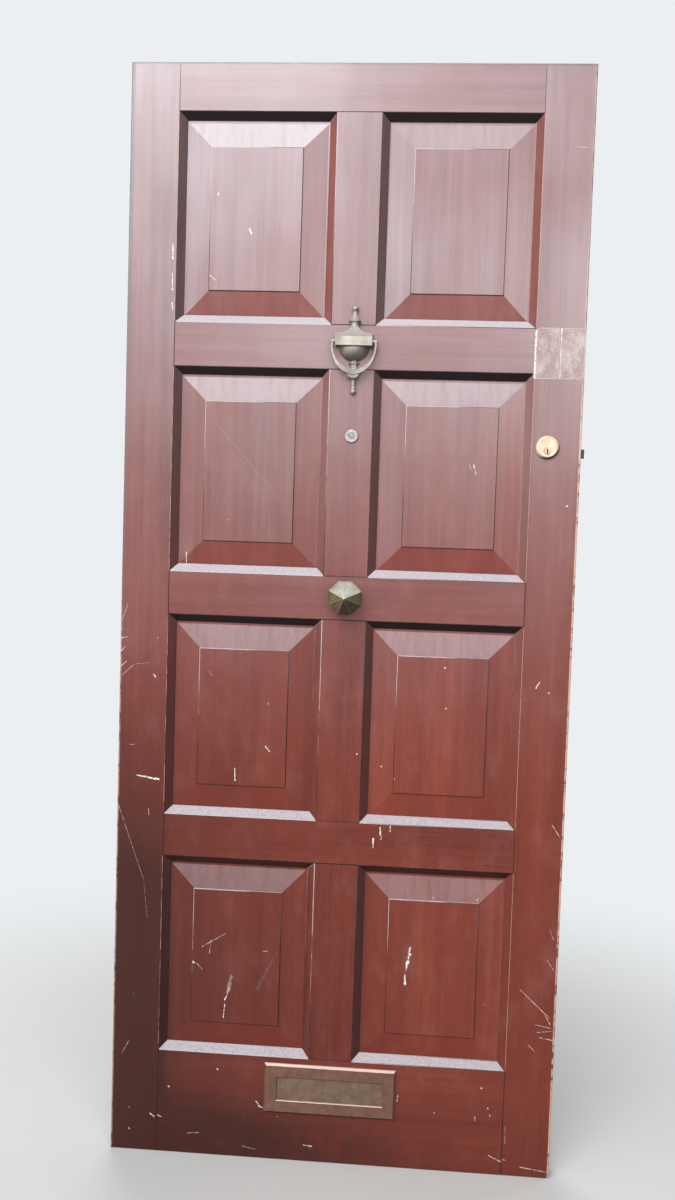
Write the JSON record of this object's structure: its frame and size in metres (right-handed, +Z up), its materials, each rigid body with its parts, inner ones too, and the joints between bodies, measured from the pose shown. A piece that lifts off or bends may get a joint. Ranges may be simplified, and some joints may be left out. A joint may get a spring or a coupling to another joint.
{
  "type": "panelled front door leaf",
  "caption": "Raised and fielded hardwood entrance door leaf with urn knocker, viewer, faceted knob, rim night latch and letter plate.",
  "frame": {"origin": "middle of the leaf's bottom edge, halfway through its thickness", "axes": "+X to the right as seen from outside, towards the lock edge; +Y into the house; +Z up; the knocker side faces -Y"},
  "size_m": [0.826, 0.156, 1.981],
  "materials": {
    "stained_hardwood": "stained and varnished, weathered",
    "knocker_brass": "dull grey patina",
    "knob_brass": "tarnished",
    "lock_brass": "satin",
    "letter_bronze": "browned, dull",
    "satin_chrome": "satin",
    "lens": "polished",
    "steel": "zinc plated",
    "latch_paint": "baked brown enamel",
    "latch_brass": "satin"
  },
  "bodies": {
    "leaf": {"hinge_stile": "stained_hardwood", "lock_stile": "stained_hardwood", "top_rail": "stained_hardwood", "frieze_rail": "stained_hardwood", "lock_rail": "stained_hardwood", "lower_rail": "stained_hardwood", "bottom_rail": "stained_hardwood", "muntin_1": "stained_hardwood", "muntin_2": "stained_hardwood", "muntin_3": "stained_hardwood", "muntin_4": "stained_hardwood", "panel_1_left": "stained_hardwood", "panel_1_right": "stained_hardwood", "panel_2_left": "stained_hardwood", "panel_2_right": "stained_hardwood", "panel_3_left": "stained_hardwood", "panel_3_right": "stained_hardwood", "panel_4_left": "stained_hardwood", "panel_4_right": "stained_hardwood", "knocker_body": "knocker_brass", "knocker_pins": "knocker_brass", "knocker_bolts": "steel", "knocker_washers": "steel", "knob_bolt": "steel", "knob_washer": "steel", "letter_plate_bolts": "steel", "letter_plate_washers": "steel", "viewer_barrel": "satin_chrome", "viewer_lens": "lens", "viewer_sleeve": "satin_chrome", "viewer_eyepiece": "lens", "centre_knob": "knob_brass", "cylinder_ring": "lock_brass", "cylinder_body": "lock_brass", "cylinder_plate": "steel", "cylinder_screws": "steel", "latch_case": "latch_paint", "latch_case_screws": "steel", "latch_spring": "steel", "letter_plate": "letter_bronze", "letter_flap_pin": "steel", "letter_flap_spring": "steel"},
    "knocker_bail": {"knocker_bail": "knocker_brass"},
    "letter_flap": {"letter_flap": "letter_bronze"},
    "key_plug": {"cylinder_plug": "lock_brass", "cylinder_tailpiece": "steel"},
    "latch_turn": {"latch_cam": "latch_brass", "latch_turn_knob": "latch_brass"},
    "latch_bolt": {"latch_bolt": "latch_brass"},
    "latch_snib": {"latch_snib": "latch_brass"}
  },
  "joints": [
    {"name": "knocker_swing", "type": "hinge", "parent": "leaf", "child": "knocker_bail", "pos_m": [0.003, -0.036, 1.499], "axis": [-1, 0, 0], "range_deg": [0, 100]},
    {"name": "letter_flap_swing", "type": "hinge", "parent": "leaf", "child": "letter_flap", "pos_m": [0.001, -0.0205, 0.16355], "axis": [1, 0, 0], "range_deg": [0, 80], "stiffness_Nm_per_rad": 0.05, "springref_deg": -34.38, "deforming": ["letter_flap_spring"]},
    {"name": "key_turn", "type": "hinge", "parent": "leaf", "child": "key_plug", "pos_m": [0.3475, 0, 1.318], "axis": [0, -1, 0], "range_deg": [0, 60]},
    {"name": "latch_knob_turn", "type": "hinge", "parent": "leaf", "child": "latch_turn", "pos_m": [0.3475, 0, 1.318], "axis": [0, -1, 0], "range_deg": [0, 60]},
    {"name": "latch_bolt_slide", "type": "slide", "parent": "leaf", "child": "latch_bolt", "axis": [-1, 0, 0], "range_m": [0, 0.013], "stiffness_N_per_m": 250, "springref_m": -0.012, "deforming": ["latch_spring"]},
    {"name": "latch_snib_slide", "type": "slide", "parent": "leaf", "child": "latch_snib", "axis": [0, 0, 1], "range_m": [0, 0.005]}
  ],
  "couplings": [
    {"joint": "key_turn", "follows": "latch_bolt_slide", "rad_per_m": 80.5},
    {"joint": "latch_knob_turn", "follows": "latch_bolt_slide", "rad_per_m": 80.5}
  ]
}
